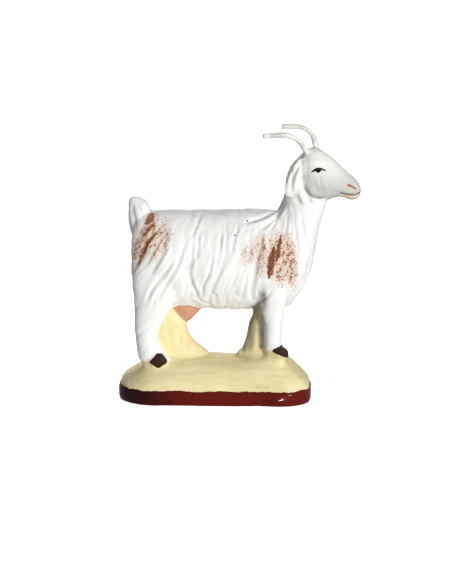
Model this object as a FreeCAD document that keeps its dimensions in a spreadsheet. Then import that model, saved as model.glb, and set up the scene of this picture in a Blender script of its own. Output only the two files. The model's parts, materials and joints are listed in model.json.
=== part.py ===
# A painted clay crib goat standing on a mound of ground, with two wire horns.
#
# The goat faces +X, its left side is towards +Y and Z is up. The origin is the middle of the
# flat underside of the base. Lengths are in millimetres, angles in degrees.

import FreeCAD
import Part
import Sketcher
import math
import os

from FreeCAD import Placement, Rotation, Vector

UP = Vector(0, 0, 1)
Y_AXIS = Vector(0, 1, 0)
SIDES = {"right": -1, "left": 1}
PARTS_FOLDER = "parts"

# Driving dimensions: alias, value, what it is.
DIMENSIONS = (
    ("base_length", 44.4, "base along X"),
    ("base_width", 20.4, "base along Y"),
    ("base_thickness", 3.4, "painted edge of the base"),
    ("base_edge_round", 0.7, "rounding of the edge of the base"),
    ("corner_fore_right", 6.5, "corner radii of the base, seen from above"),
    ("corner_fore_left", 8.0, ""),
    ("corner_rear_left", 8.5, ""),
    ("corner_rear_right", 9.0, ""),
    ("mound_height", 6.9, "ground above the base slab"),
    ("mound_pitch", 3.0, "rise of the ground towards the fore feet"),
    ("rump_x", -19.0, "rear end of the trunk"),
    ("trunk_length", 39.8, "rump to chest"),
    ("back_height", 44.0, "line of the back"),
    ("trunk_height", 23.1, "back to belly"),
    ("trunk_width", 15.4, "across the ribs"),
    ("neck_foot", 21.6, "lowest section of the neck"),
    ("neck_height", 30.7, "lowest to highest section of the neck"),
    ("neck_depth", 12.8, "neck from front to back at the shoulder"),
    ("neck_width", 12.7, "neck across at the shoulder"),
    ("poll_x", 19.5, "back of the head's axis"),
    ("poll_height", 54.5, ""),
    ("head_pitch", 22.3, "fall of the head's axis towards the muzzle"),
    ("head_length", 16.4, "back of the head to the lips"),
    ("head_depth", 10.65, "forehead to jaw"),
    ("head_width", 7.8, "across the eyes"),
    ("ear_length", 9.4, "hanging ear, tip to root"),
    ("ear_width", 3.9, ""),
    ("ear_thickness", 1.8, ""),
    ("horn_wire", 0.96, "wire diameter with its paint"),
    ("horn_socket", 2.4, "depth of wire in the head"),
    ("right_horn_rise", 1.6, "straight wire above the head"),
    ("right_horn_bend", 5.5, "radius of the bend, on the wire's axis"),
    ("right_horn_turn", 63.0, "angle of the bend"),
    ("right_horn_run", 4.0, "straight wire after the bend"),
    ("left_horn_rise", 1.6, ""),
    ("left_horn_bend", 4.0, ""),
    ("left_horn_turn", 80.0, ""),
    ("left_horn_run", 3.4, ""),
    ("tail_height", 9.3, "raised tail with its root"),
    ("tail_width", 3.8, ""),
    ("leg_spread", 4.7, "middle of each leg from the middle of the goat"),
    ("leg_width", 4.6, "leg across"),
    ("hind_leg_height", 27.0, "foot to the top of the thigh"),
    ("hind_leg_depth", 6.0, "from front to back"),
    ("fore_leg_height", 22.0, "foot to the shoulder"),
    ("fore_leg_depth", 3.9, "from front to back"),
    ("fore_leg_lag", 1.8, "left fore leg behind the right one"),
    ("web_width", 6.4, "ground left standing between the legs, across"),
    ("web_height", 13.5, ""),
    ("hind_web_depth", 8.4, "from front to back"),
    ("fore_web_depth", 7.0, "from front to back"),
    ("udder_height", 6.0, ""),
    ("udder_length", 7.8, ""),
    ("udder_width", 6.6, ""),
    ("hoof_width", 4.0, "hoof seen from the side"),
    ("hoof_height", 3.2, ""),
    ("hoof_thickness", 2.6, ""),
    ("hoof_round", 0.45, "rounding of the hoof's outer edge"),
)

# Outlines of the mound, from the slab up: share of its height, and how far it has drawn in from
# the outline of the base along X and along Y.
MOUND_SECTIONS = (
    (0.00, 0.3, 0.3),
    (0.21, 1.0, 0.7),
    (0.41, 2.5, 1.3),
    (0.59, 4.1, 2.2),
    (0.76, 5.8, 3.4),
    (0.90, 8.0, 5.2),
    (1.00, 11.0, 7.6),
)
LEAST_CORNER = 1.0
LOFT_DEGREE = 3
LEVEL = 1e-6

# Sections of the trunk from rump to chest. Station along its length, drop below the back line and
# rise above the belly as shares of its height, and share of its full width.
TRUNK_SECTIONS = (
    (0.00, 0.19, 0.20, 0.42),
    (0.04, 0.07, 0.09, 0.70),
    (0.15, 0.02, 0.03, 0.92),
    (0.36, 0.01, 0.00, 1.00),
    (0.58, 0.00, 0.00, 1.00),
    (0.78, 0.00, 0.03, 0.93),
    (0.92, 0.06, 0.10, 0.76),
    (1.00, 0.22, 0.28, 0.48),
)

# Sections of the head square to its axis: share of its length, top and bottom above the axis as
# shares of its depth, and share of its width.
HEAD_SECTIONS = (
    (-0.07, 0.24, -0.10, 0.44),
    (0.02, 0.41, -0.28, 0.78),
    (0.18, 0.46, -0.45, 1.00),
    (0.33, 0.42, -0.54, 1.00),
    (0.46, 0.35, -0.52, 0.90),
    (0.57, 0.28, -0.42, 0.76),
    (0.70, 0.21, -0.31, 0.63),
    (0.81, 0.14, -0.28, 0.55),
    (0.89, 0.05, -0.23, 0.36),
    (0.93, -0.03, -0.16, 0.17),
)

# The other lumps are lofts through level ovals, lowest first. Each oval has its share of the
# height, the X and Y of its middle, and its shares of the depth along X and the width along Y.
NECK_SECTIONS = (
    (0.00, 14.0, 0, 0.54, 0.50),
    (0.09, 14.0, 0, 0.79, 0.77),
    (0.24, 15.0, 0, 0.97, 0.97),
    (0.43, 16.3, 0, 1.00, 1.00),
    (0.63, 18.4, 0, 0.91, 0.81),
    (0.77, 20.1, 0, 0.81, 0.67),
    (0.88, 20.7, 0, 0.73, 0.59),
    (1.00, 21.0, 0, 0.62, 0.51),
)
EAR_SECTIONS = (
    (0.00, 17.3, 4.1, 0.34, 0.45),
    (0.11, 17.5, 4.2, 0.80, 0.85),
    (0.30, 18.0, 4.2, 1.00, 1.00),
    (0.56, 18.6, 4.0, 0.90, 0.95),
    (0.82, 19.3, 3.4, 0.66, 0.80),
    (1.00, 19.9, 2.9, 0.26, 0.40),
)
HIND_LEG_SECTIONS = (
    (0.00, -13.4, 0, 1.20, 0.96),
    (0.11, -13.6, 0, 1.22, 1.00),
    (0.19, -14.6, 0, 1.02, 1.00),
    (0.26, -15.2, 0, 0.90, 0.94),
    (0.39, -15.4, 0, 0.98, 0.96),
    (0.54, -14.2, 0, 1.35, 1.12),
    (0.70, -13.6, 0, 1.64, 1.20),
    (0.86, -13.3, 0, 1.72, 1.02),
    (1.00, -13.0, 0, 1.60, 0.70),
)
FORE_LEG_SECTIONS = (
    (0.00, 14.2, 0, 1.54, 0.96),
    (0.08, 14.0, 0, 1.38, 0.94),
    (0.17, 13.6, 0, 1.06, 0.84),
    (0.29, 13.7, 0, 0.92, 0.76),
    (0.41, 13.7, 0, 0.98, 0.80),
    (0.55, 13.5, 0, 1.26, 0.90),
    (0.70, 13.4, 0, 1.62, 1.04),
    (0.86, 13.4, 0, 1.84, 0.98),
    (1.00, 13.4, 0, 1.80, 0.74),
)
HIND_WEB_SECTIONS = (
    (0.00, -8.4, 0, 1.84, 1.20),
    (0.22, -9.35, 0, 1.46, 1.05),
    (0.41, -10.35, 0, 1.11, 1.00),
    (0.63, -10.55, 0, 0.94, 0.97),
    (0.85, -11.0, 0, 0.80, 0.88),
    (1.00, -11.0, 0, 0.76, 0.80),
)
FORE_WEB_SECTIONS = (
    (0.00, 9.4, 0, 1.80, 1.12),
    (0.12, 10.1, 0, 1.54, 1.02),
    (0.22, 10.6, 0, 1.28, 0.96),
    (0.44, 10.9, 0, 1.03, 0.88),
    (0.81, 11.5, 0, 0.76, 0.78),
    (1.00, 11.8, 0, 0.70, 0.70),
)
TAIL_SECTIONS = (
    (0.00, -16.6, 0, 1.47, 0.95),
    (0.31, -17.1, 0, 1.50, 1.00),
    (0.54, -17.3, 0, 1.34, 0.98),
    (0.72, -17.65, 0, 1.13, 0.88),
    (0.88, -18.0, 0, 0.94, 0.72),
    (0.96, -18.1, 0, 0.66, 0.50),
    (1.00, -18.1, 0, 0.30, 0.24),
)
UDDER_SECTIONS = (
    (0.00, -6.9, 0, 0.14, 0.14),
    (0.12, -6.9, 0, 0.38, 0.38),
    (0.33, -6.8, 0, 0.66, 0.72),
    (0.66, -6.6, 0, 1.00, 1.00),
    (1.00, -6.6, 0, 1.10, 1.08),
)

# Heights at which the lofts through level ovals start. The feet start inside the mound.
LEGS = {"hind": (6.4, HIND_LEG_SECTIONS), "fore": (8.5, FORE_LEG_SECTIONS)}
WEBS = {"hind": HIND_WEB_SECTIONS, "fore": FORE_WEB_SECTIONS}
WEB_FOOT = 9.0
UDDER_FOOT = 17.5
TAIL_FOOT = 38.0
EAR_TIP = 47.4

# Horns: where the wire leaves the head, its lean back from upright, and its swing outwards.
HORNS = {
    "right": (Vector(20.9, -1.5, 57.5), 30.0, 8.0),
    "left": (Vector(23.0, 1.5, 58.0), 11.0, 8.0),
}

# Hooves: X and height of the middle, and how far the toe points down.
HOOVES = {"hind": (-12.8, 9.8, 0.0), "fore": (15.4, 11.9, 24.0)}
HOOF_OUTER_FACE = 7.5
# Outline of a hoof seen from the right, as shares of its width and height.
HOOF_OUTLINE = ((-0.49, -0.09), (0.0, -0.50), (0.51, -0.09), (0.24, 0.47), (-0.03, 0.50))

doc = FreeCAD.newDocument("crib_goat")
sheet = doc.addObject("Spreadsheet::Sheet", "Sheet")
subparts = {}


def fill_sheet():
    for row, (alias, value, note) in enumerate(DIMENSIONS, start=1):
        sheet.set(f"A{row}", note)
        sheet.set(f"B{row}", str(value))
        sheet.setAlias(f"B{row}", alias)
    doc.recompute()


def named(label, thing):
    """Marks an object as a finished sub-part. Its label names its file."""
    thing.Label = label
    subparts[label] = thing
    return thing


def oval(name, x, y, z, major, minor, tilt="0"):
    """An ellipse with its minor axis along Y. Tilt turns its major axis from X up towards Z."""
    ring = doc.addObject("Part::Ellipse", name)
    ring.Placement = Placement(Vector(), Rotation(-Y_AXIS, 90))
    ring.setExpression("MajorRadius", major)
    ring.setExpression("MinorRadius", minor)
    ring.setExpression(".Placement.Base.x", x)
    ring.setExpression(".Placement.Base.y", y)
    ring.setExpression(".Placement.Base.z", z)
    ring.setExpression(".Placement.Rotation.Angle", tilt)
    return ring


def lofted(name, rings):
    skin = doc.addObject("Part::Loft", name)
    skin.Sections = rings
    skin.Solid = True
    skin.MaxDegree = LOFT_DEGREE
    return skin


def level_loft(name, foot, sizes, sections, side=1, middle="0", lag="0"):
    """A loft through level ovals. Sizes are the aliases of its height, depth and width."""
    height, depth, width = sizes
    rings = [
        oval(
            f"{name}_section_{number}",
            f"{x} - {lag}",
            f"{side} * ({middle} + {y})",
            f"{foot} + Sheet.{height} * {rise}",
            f"Sheet.{depth} * {depth_share} / 2",
            f"Sheet.{width} * {width_share} / 2",
        )
        for number, (rise, x, y, depth_share, width_share) in enumerate(sections)
    ]
    return lofted(name, rings)


def trimmed(name, base, *tools):
    """The base with the shape of each tool taken away in turn."""
    for number, tool in enumerate(tools):
        cut = doc.addObject("Part::Cut", f"{name}_cut_{number}")
        cut.Base = base
        cut.Tool = tool
        base = cut
    return base


def edge_names(shape, wanted):
    """Names of the edges of a shape that the test picks out."""
    return [f"Edge{number}" for number, edge in enumerate(shape.Edges, start=1) if wanted(edge)]


def body_sketch(body, name, plane_role):
    """An empty sketch on one of the body's own origin planes."""
    sketch = body.newObject("Sketcher::SketchObject", name)
    plane = next(f for f in body.Origin.OriginFeatures if f.Role == plane_role)
    sketch.AttachmentSupport = [(plane, "")]
    sketch.MapMode = "FlatFace"
    return sketch


def bound_constraint(sketch, name, expression, *constraint):
    """Adds a named constraint whose value follows the sheet."""
    index = sketch.addConstraint(Sketcher.Constraint(*constraint))
    sketch.renameConstraint(index, name)
    sketch.setExpression(f"Constraints.{name}", expression)


def base_outline(body, name, rise, x_inset, y_inset):
    """The rounded outline of the base, drawn in by the insets, at a share of the mound's height."""
    sketch = body_sketch(body, name, "XY_Plane")
    sketch.AttachmentOffset = Placement(Vector(), Rotation(-Y_AXIS, sheet.mound_pitch * rise))
    sketch.setExpression(".AttachmentOffset.Base.z", f"Sheet.mound_height * {rise}")
    half_x = sheet.base_length / 2 - x_inset
    half_y = sheet.base_width / 2 - y_inset
    corners = (
        ("corner_fore_right", 1, -1),
        ("corner_fore_left", 1, 1),
        ("corner_rear_left", -1, 1),
        ("corner_rear_right", -1, -1),
    )
    radii = [max(sheet.get(alias) - y_inset, LEAST_CORNER) for alias, _, _ in corners]
    arcs = []
    for quarter, ((alias, sx, sy), radius) in enumerate(zip(corners, radii)):
        centre = Vector(sx * (half_x - radius), sy * (half_y - radius), 0)
        start = math.pi / 2 * (quarter - 1)
        arc = Part.ArcOfCircle(Part.Circle(centre, UP, radius), start, start + math.pi / 2)
        arcs.append(sketch.addGeometry(arc, False))
        bound_constraint(
            sketch, alias, f"max(Sheet.{alias} - {y_inset}; {LEAST_CORNER})", "Radius", arcs[-1], radius
        )
    lines = []
    for number, arc in enumerate(arcs):
        following = arcs[(number + 1) % len(arcs)]
        ends = (sketch.getPoint(arc, 2), sketch.getPoint(following, 1))
        line = sketch.addGeometry(Part.LineSegment(*ends), False)
        sketch.addConstraint(Sketcher.Constraint("Tangent", arc, 2, line, 1))
        sketch.addConstraint(Sketcher.Constraint("Tangent", line, 2, following, 1))
        sketch.addConstraint(Sketcher.Constraint("Horizontal" if number % 2 else "Vertical", line))
        lines.append(line)
    fore, left, rear, right = lines
    x_reach = f"Sheet.base_length / 2 - {x_inset}"
    y_reach = f"Sheet.base_width / 2 - {y_inset}"
    bound_constraint(sketch, "fore", x_reach, "DistanceX", -1, 1, fore, 1, half_x)
    bound_constraint(sketch, "rear", x_reach, "DistanceX", rear, 1, -1, 1, half_x)
    bound_constraint(sketch, "left", y_reach, "DistanceY", -1, 1, left, 1, half_y)
    bound_constraint(sketch, "right", y_reach, "DistanceY", right, 1, -1, 1, half_y)
    return sketch


def make_base_slab():
    """The flat slab whose edge is painted, rounded where it meets the table and the ground."""
    body = doc.addObject("PartDesign::Body", "base_slab")
    outline = base_outline(body, "slab_outline", 0, 0, 0)
    slab = body.newObject("PartDesign::Pad", "slab")
    slab.Profile = outline
    slab.setExpression("Length", "Sheet.base_thickness")
    doc.recompute()
    rounded = body.newObject("PartDesign::Fillet", "slab_edges")
    rounded.Base = (slab, edge_names(slab.Shape, lambda edge: edge.BoundBox.ZLength < LEVEL))
    rounded.setExpression("Radius", "Sheet.base_edge_round")
    return named("base_slab", body)


def make_mound():
    """The heap of ground on the slab, a loft that draws in and rises towards the fore feet."""
    body = doc.addObject("PartDesign::Body", "ground_mound")
    outlines = [
        base_outline(body, f"mound_outline_{number}", rise, x_inset, y_inset)
        for number, (rise, x_inset, y_inset) in enumerate(MOUND_SECTIONS)
    ]
    heap = body.newObject("PartDesign::AdditiveLoft", "heap")
    heap.Profile = outlines[0]
    heap.Sections = outlines[1:]
    body.setExpression(".Placement.Base.z", "Sheet.base_thickness")
    return named("ground_mound", body)


def make_trunk():
    """The barrel of the body, a loft through upright ovals."""
    rings = [
        oval(
            f"trunk_section_{number}",
            f"Sheet.rump_x + Sheet.trunk_length * {station}",
            "0",
            f"Sheet.back_height - Sheet.trunk_height * (1 + {drop} - {rise}) / 2",
            f"Sheet.trunk_height * (1 - {drop} - {rise}) / 2",
            f"Sheet.trunk_width * {width} / 2",
            "90",
        )
        for number, (station, drop, rise, width) in enumerate(TRUNK_SECTIONS)
    ]
    return lofted("trunk", rings)


def make_skull():
    """The whole head before its horn sockets, a loft along an axis that falls to the muzzle."""
    rings = []
    for number, (station, top, bottom, width) in enumerate(HEAD_SECTIONS):
        along = f"Sheet.head_length * {station}"
        above = f"Sheet.head_depth * ({top} + {bottom}) / 2"
        rings.append(
            oval(
                f"head_section_{number}",
                f"Sheet.poll_x + {along} * cos(Sheet.head_pitch) + {above} * sin(Sheet.head_pitch)",
                "0",
                f"Sheet.poll_height - {along} * sin(Sheet.head_pitch) + {above} * cos(Sheet.head_pitch)",
                f"Sheet.head_depth * ({top} - {bottom}) / 2",
                f"Sheet.head_width * {width} / 2",
                "90 - Sheet.head_pitch",
            )
        )
    return lofted("skull", rings)


def make_horn(side):
    """A length of wire: straight out of its socket, one bend back, and a straight tip."""
    root, lean, swing = HORNS[side]
    body = doc.addObject("PartDesign::Body", f"{side}_horn")
    section = body_sketch(body, f"{side}_horn_section", "XY_Plane")
    radius = sheet.horn_wire / 2
    circle = section.addGeometry(Part.Circle(Vector(), UP, radius), False)
    section.addConstraint(Sketcher.Constraint("Coincident", circle, 3, -1, 1))
    bound_constraint(section, "wire_radius", "Sheet.horn_wire / 2", "Radius", circle, radius)
    pipe = body.newObject("PartDesign::AdditivePipe", f"{side}_horn_wire")
    pipe.Profile = section
    pipe.Spine = horn_line(body, side)
    swung = Rotation(UP, -SIDES[side] * swing) * Rotation(-Y_AXIS, lean)
    body.Placement = Placement(root - swung.multVec(UP) * sheet.horn_socket, swung)
    return named(f"{side}_horn", body)


def horn_line(body, side):
    """The middle line of a horn in its own XZ plane, with the wire's root upright."""
    rise, bend, turn, run = (sheet.get(f"{side}_horn_{n}") for n in ("rise", "bend", "turn", "run"))
    stem_length = sheet.horn_socket + rise
    stem_end = Vector(0, stem_length, 0)
    angle = math.radians(turn)
    centre = Vector(-bend, stem_length, 0)
    bend_end = centre + Vector(math.cos(angle), math.sin(angle), 0) * bend
    tip = bend_end + Vector(-math.sin(angle), math.cos(angle), 0) * run
    sketch = body_sketch(body, f"{side}_horn_line", "XZ_Plane")
    stem = sketch.addGeometry(Part.LineSegment(Vector(), stem_end), False)
    curve = sketch.addGeometry(Part.ArcOfCircle(Part.Circle(centre, UP, bend), 0, angle), False)
    point = sketch.addGeometry(Part.LineSegment(bend_end, tip), False)
    sketch.addConstraint(Sketcher.Constraint("Coincident", stem, 1, -1, 1))
    sketch.addConstraint(Sketcher.Constraint("Vertical", stem))
    sketch.addConstraint(Sketcher.Constraint("Tangent", stem, 2, curve, 1))
    sketch.addConstraint(Sketcher.Constraint("Tangent", curve, 2, point, 1))
    stem_size = f"Sheet.horn_socket + Sheet.{side}_horn_rise"
    bound_constraint(sketch, "stem_size", stem_size, "Distance", stem, stem_length)
    bound_constraint(sketch, "bend_radius", f"Sheet.{side}_horn_bend", "Radius", curve, bend)
    bound_constraint(sketch, "turn", f"Sheet.{side}_horn_turn * 1 deg", "Angle", curve, angle)
    bound_constraint(sketch, "run", f"Sheet.{side}_horn_run", "Distance", point, run)
    return sketch


def make_hoof(side, end, lag):
    """A small kite-shaped wedge on the outside of the foot, with its outer edge rounded."""
    name = f"{side}_{end}_hoof"
    x, z, pitch = HOOVES[end]
    body = doc.addObject("PartDesign::Body", f"{name}_body")
    outline = body_sketch(body, f"{name}_outline", "XZ_Plane")
    corners = [Vector(u * sheet.hoof_width, v * sheet.hoof_height, 0) for u, v in HOOF_OUTLINE]
    lines = []
    for number, corner in enumerate(corners):
        following = corners[(number + 1) % len(corners)]
        lines.append(outline.addGeometry(Part.LineSegment(corner, following), False))
    for number, (u, v) in enumerate(HOOF_OUTLINE):
        line = lines[number]
        outline.addConstraint(Sketcher.Constraint("Coincident", lines[number - 1], 2, line, 1))
        for axis, share, size in (("X", u, "hoof_width"), ("Y", v, "hoof_height")):
            if share == 0:
                outline.addConstraint(Sketcher.Constraint("PointOnObject", line, 1, -2))
                continue
            ends = (-1, 1, line, 1) if share > 0 else (line, 1, -1, 1)
            reach = f"Sheet.{size} * {abs(share)}"
            value = sheet.get(size) * abs(share)
            bound_constraint(outline, f"corner_{number}_{axis}", reach, f"Distance{axis}", *ends, value)
    wedge = body.newObject("PartDesign::Pad", f"{name}_wedge")
    wedge.Profile = outline
    wedge.setExpression("Length", "Sheet.hoof_thickness")
    wedge.Reversed = SIDES[side] > 0
    doc.recompute()
    nearly_out = sheet.hoof_thickness - LEVEL
    rounded = body.newObject("PartDesign::Fillet", f"{name}_edge")
    rounded.Base = (wedge, edge_names(wedge.Shape, lambda edge: abs(edge.CenterOfMass.y) > nearly_out))
    rounded.setExpression("Radius", "Sheet.hoof_round")
    inner = SIDES[side] * (HOOF_OUTER_FACE - sheet.hoof_thickness)
    body.Placement = Placement(Vector(x, inner, z), Rotation(Y_AXIS, pitch))
    body.setExpression(".Placement.Base.x", f"{x} - {lag}")
    return body


def make_head_and_torso():
    """The torso is the trunk and neck in one lump. The head is whole and the neck stops at it."""
    skull = make_skull()
    horns = [make_horn(side) for side in SIDES]
    named("head", trimmed("head", skull, *horns))
    neck_sizes = ("neck_height", "neck_depth", "neck_width")
    neck = level_loft("neck", "Sheet.neck_foot", neck_sizes, NECK_SECTIONS)
    carcass = doc.addObject("Part::MultiFuse", "carcass")
    carcass.Shapes = [make_trunk(), neck]
    return skull, named("torso", trimmed("torso", carcass, skull))


def make_tail(torso):
    sizes = ("tail_height", "tail_width", "tail_width")
    blank = level_loft("tail_blank", TAIL_FOOT, sizes, TAIL_SECTIONS)
    return named("tail", trimmed("tail", blank, torso))


def make_ear(side, skull, torso):
    """A hanging ear, thin across and widest near its tip."""
    name = f"{side}_ear"
    sizes = ("ear_length", "ear_width", "ear_thickness")
    blank = level_loft(f"{name}_blank", EAR_TIP, sizes, EAR_SECTIONS, SIDES[side])
    return named(name, trimmed(name, blank, skull, torso))


def make_leg(side, end, torso, mound):
    """A leg from the ground to inside the torso, with its hoof as a lump of its own."""
    name = f"{side}_{end}_leg"
    lag = "Sheet.fore_leg_lag" if (side, end) == ("left", "fore") else "0"
    foot, sections = LEGS[end]
    sizes = (f"{end}_leg_height", f"{end}_leg_depth", "leg_width")
    middle = "Sheet.leg_spread"
    blank = level_loft(f"{name}_blank", foot, sizes, sections, SIDES[side], middle, lag)
    wedge = make_hoof(side, end, lag)
    named(f"{side}_{end}_hoof", trimmed(f"{side}_{end}_hoof", wedge, mound))
    return named(name, trimmed(name, blank, torso, wedge, mound))


def make_udder(torso, legs):
    sizes = ("udder_height", "udder_length", "udder_width")
    blank = level_loft("udder_blank", UDDER_FOOT, sizes, UDDER_SECTIONS)
    return named("udder", trimmed("udder", blank, torso, *legs))


def make_web(end, around):
    """Ground left standing between a pair of legs, which holds the goat up."""
    name = f"{end}_web"
    sizes = ("web_height", f"{end}_web_depth", "web_width")
    blank = level_loft(f"{name}_blank", WEB_FOOT, sizes, WEBS[end])
    return named(name, trimmed(name, blank, *around))


def check_document():
    """Stops when any object failed or any sub-part is not one sound solid."""
    faults = [o.Name for o in doc.Objects if {"Invalid", "Error"} & set(o.State)]
    for label, thing in subparts.items():
        shape = thing.Shape
        if shape.isNull() or not shape.isValid() or len(shape.Solids) != 1:
            faults.append(label)
    if faults:
        raise SystemExit(f"failed: {', '.join(faults)}")


def write_parts():
    os.makedirs(PARTS_FOLDER, exist_ok=True)
    for label, thing in subparts.items():
        thing.Shape.exportStep(os.path.join(PARTS_FOLDER, f"{label}.step"))
        box = thing.Shape.optimalBoundingBox(True, False)
        size = " x ".join(f"{length:.1f}" for length in (box.XLength, box.YLength, box.ZLength))
        print(f"{label}: {thing.Shape.Volume:.1f} mm3, {size} mm, from Z {box.ZMin:.2f}")


def build():
    fill_sheet()
    make_base_slab()
    mound = make_mound()
    skull, torso = make_head_and_torso()
    make_tail(torso)
    for side in SIDES:
        make_ear(side, skull, torso)
    legs = [make_leg(side, end, torso, mound) for side in SIDES for end in LEGS]
    udder = make_udder(torso, legs)
    for end in WEBS:
        make_web(end, [torso, mound, udder, *legs])
    doc.recompute()


build()
check_document()
write_parts()
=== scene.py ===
# %% [markdown]
# # A painted clay goat for a nativity crib
# The real goat is a lump of clay pressed in a mould, fired, and painted by hand, with two bent
# wires pushed into its head for horns. Its solids come from the CAD frame. This lesson turns them
# into one lump of digital clay, models the coat and the face on it with simple tools, cuts it
# back into the frame's pieces, and paints them.

# %% Load the frame
import json
import math

import bmesh
import bpy
import numpy as np
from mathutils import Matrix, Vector
from mathutils.bvhtree import BVHTree

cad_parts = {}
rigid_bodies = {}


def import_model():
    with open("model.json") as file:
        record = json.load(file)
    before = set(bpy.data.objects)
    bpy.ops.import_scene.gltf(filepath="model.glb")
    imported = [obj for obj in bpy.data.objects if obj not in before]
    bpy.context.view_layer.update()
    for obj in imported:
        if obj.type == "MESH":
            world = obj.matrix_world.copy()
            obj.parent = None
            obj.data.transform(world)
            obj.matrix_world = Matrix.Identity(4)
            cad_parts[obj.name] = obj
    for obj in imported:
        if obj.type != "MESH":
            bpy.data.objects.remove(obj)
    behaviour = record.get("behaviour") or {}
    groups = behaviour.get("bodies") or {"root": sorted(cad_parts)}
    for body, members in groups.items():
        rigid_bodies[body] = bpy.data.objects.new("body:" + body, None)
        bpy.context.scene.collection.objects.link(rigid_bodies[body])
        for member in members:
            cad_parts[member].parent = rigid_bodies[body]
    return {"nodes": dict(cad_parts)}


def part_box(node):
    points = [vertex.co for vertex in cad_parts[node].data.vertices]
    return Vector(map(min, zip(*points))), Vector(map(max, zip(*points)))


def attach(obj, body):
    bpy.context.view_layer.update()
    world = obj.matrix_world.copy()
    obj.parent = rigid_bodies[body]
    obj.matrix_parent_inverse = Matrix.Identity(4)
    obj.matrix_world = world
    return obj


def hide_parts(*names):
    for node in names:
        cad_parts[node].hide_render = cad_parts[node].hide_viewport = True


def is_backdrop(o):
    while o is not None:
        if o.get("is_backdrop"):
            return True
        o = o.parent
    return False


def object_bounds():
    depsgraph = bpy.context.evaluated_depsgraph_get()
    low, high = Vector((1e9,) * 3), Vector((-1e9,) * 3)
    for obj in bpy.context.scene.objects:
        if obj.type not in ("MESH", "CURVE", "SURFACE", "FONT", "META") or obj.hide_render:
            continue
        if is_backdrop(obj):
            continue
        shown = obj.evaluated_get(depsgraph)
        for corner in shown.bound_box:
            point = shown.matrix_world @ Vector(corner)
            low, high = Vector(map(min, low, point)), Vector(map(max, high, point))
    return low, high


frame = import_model()
cad_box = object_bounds()
nodes = frame["nodes"]
MM = 0.001
print("CAD nodes:", len(nodes))

# %% [markdown]
# ## Camera
# A long lens from a little way off shows a small figure without stretching its near parts. The
# camera stands slightly ahead of the goat's right side and looks down on it a little. The place
# it looks at is worked out from the frame: a little forward of the middle of the base, and
# below the middle of the height.

# %% Camera
VIEW_AZIMUTH = math.radians(2.0)
VIEW_HEIGHT_ANGLE = math.radians(12.3)
VIEW_DISTANCE = 800 * MM
LENS = 214.4
AIM_FORWARD = 0.557
AIM_UP = 0.388
base_low, base_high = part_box("base_slab")
whole_low, whole_high = cad_box
aim = Vector((
    base_low.x + AIM_FORWARD * (base_high.x - base_low.x),
    0,
    whole_low.z + AIM_UP * (whole_high.z - whole_low.z),
))
towards_camera = Vector((
    math.sin(VIEW_AZIMUTH) * math.cos(VIEW_HEIGHT_ANGLE),
    -math.cos(VIEW_AZIMUTH) * math.cos(VIEW_HEIGHT_ANGLE),
    math.sin(VIEW_HEIGHT_ANGLE),
))
camera = bpy.data.objects.new("camera", bpy.data.cameras.new("camera"))
camera.data.lens = LENS
camera.location = aim + towards_camera * VIEW_DISTANCE
camera.rotation_euler = (-towards_camera).to_track_quat("-Z", "Y").to_euler()
camera.data.clip_start = 10 * MM
bpy.context.scene.collection.objects.link(camera)
bpy.context.scene.camera = camera
print("camera at", [round(v / MM) for v in camera.location], "mm")

# %% [markdown]
# ## Table
# The goat stands on a plain white table with no edge or horizon in sight. A plane with a little
# glow of its own gives that. The table is hidden from the rays that light the goat, because
# white light from below would fill every fold and make the coat look flat.

# %% Table
HALF_TABLE = 3.0
floor_mesh = bpy.data.meshes.new("table")
floor_mesh.from_pydata(
    [(x * HALF_TABLE, y * HALF_TABLE, 0) for x, y in ((-1, -1), (1, -1), (1, 1), (-1, 1))],
    [],
    [(0, 1, 2, 3)],
)
table = bpy.data.objects.new("table", floor_mesh)
white_table = bpy.data.materials.new("white_table")
white_table.use_nodes = True
card = white_table.node_tree.nodes["Principled BSDF"].inputs
card["Base Color"].default_value = (0.95, 0.95, 0.95, 1)
card["Roughness"].default_value = 1.0
card["Specular IOR Level"].default_value = 0.0
card["Emission Color"].default_value = (1, 1, 1, 1)
card["Emission Strength"].default_value = 0.75
floor_mesh.materials.append(white_table)
bpy.context.scene.collection.objects.link(table)
table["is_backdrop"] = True
table.visible_diffuse = False
table.visible_glossy = False
print("table:", 2 * HALF_TABLE, "m wide")

# %% [markdown]
# ## Lamps
# One low lamp on the camera's right rakes over the folds and brings the coat out. A weaker one
# behind is for looking at the goat from the far side, and the pale room fills the shadows. Sun
# lamps with a wide disc were chosen over area lamps, because their light is the same all over
# the table. The low one stays just high enough for the table not to hide part of its disc.

# %% Lamps
def soft_lamp(name, towards, strength, spread_degrees):
    """A lamp so far away that its light is even, and so wide that its shadows are soft."""
    light = bpy.data.lights.new(name, "SUN")
    light.energy = strength
    light.angle = math.radians(spread_degrees)
    holder = bpy.data.objects.new(name, light)
    holder.rotation_euler = Vector(towards).to_track_quat("Z", "Y").to_euler()
    bpy.context.scene.collection.objects.link(holder)
    return holder


soft_lamp("lamp_by_camera", (0.50, -0.86, 0.09), 2.22, 9)
soft_lamp("lamp_behind", (-0.15, 0.90, 0.25), 1.30, 30)
ROOM_LIGHT = 0.38
DISPLAY_GAMMA = 0.8
world = bpy.data.worlds.new("bright_room")
world.use_nodes = True
world.node_tree.nodes["Background"].inputs["Color"].default_value = (1, 1, 1, 1)
world.node_tree.nodes["Background"].inputs["Strength"].default_value = ROOM_LIGHT
bpy.context.scene.world = world
bpy.context.scene.view_settings.view_transform = "Standard"
bpy.context.scene.view_settings.gamma = DISPLAY_GAMMA

# %% [markdown]
# ## One lump of clay
# The solids meet in hard lines, but the maker's thumb blends one lump of clay into the next. So
# all the clay solids are copied into one mesh and remeshed: a voxel remesh lays a grid of small
# cubes over everything and wraps one even skin around it. A subdivided hand-built mesh would be
# lighter, but it would need its points placed by hand round every joint.

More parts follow.
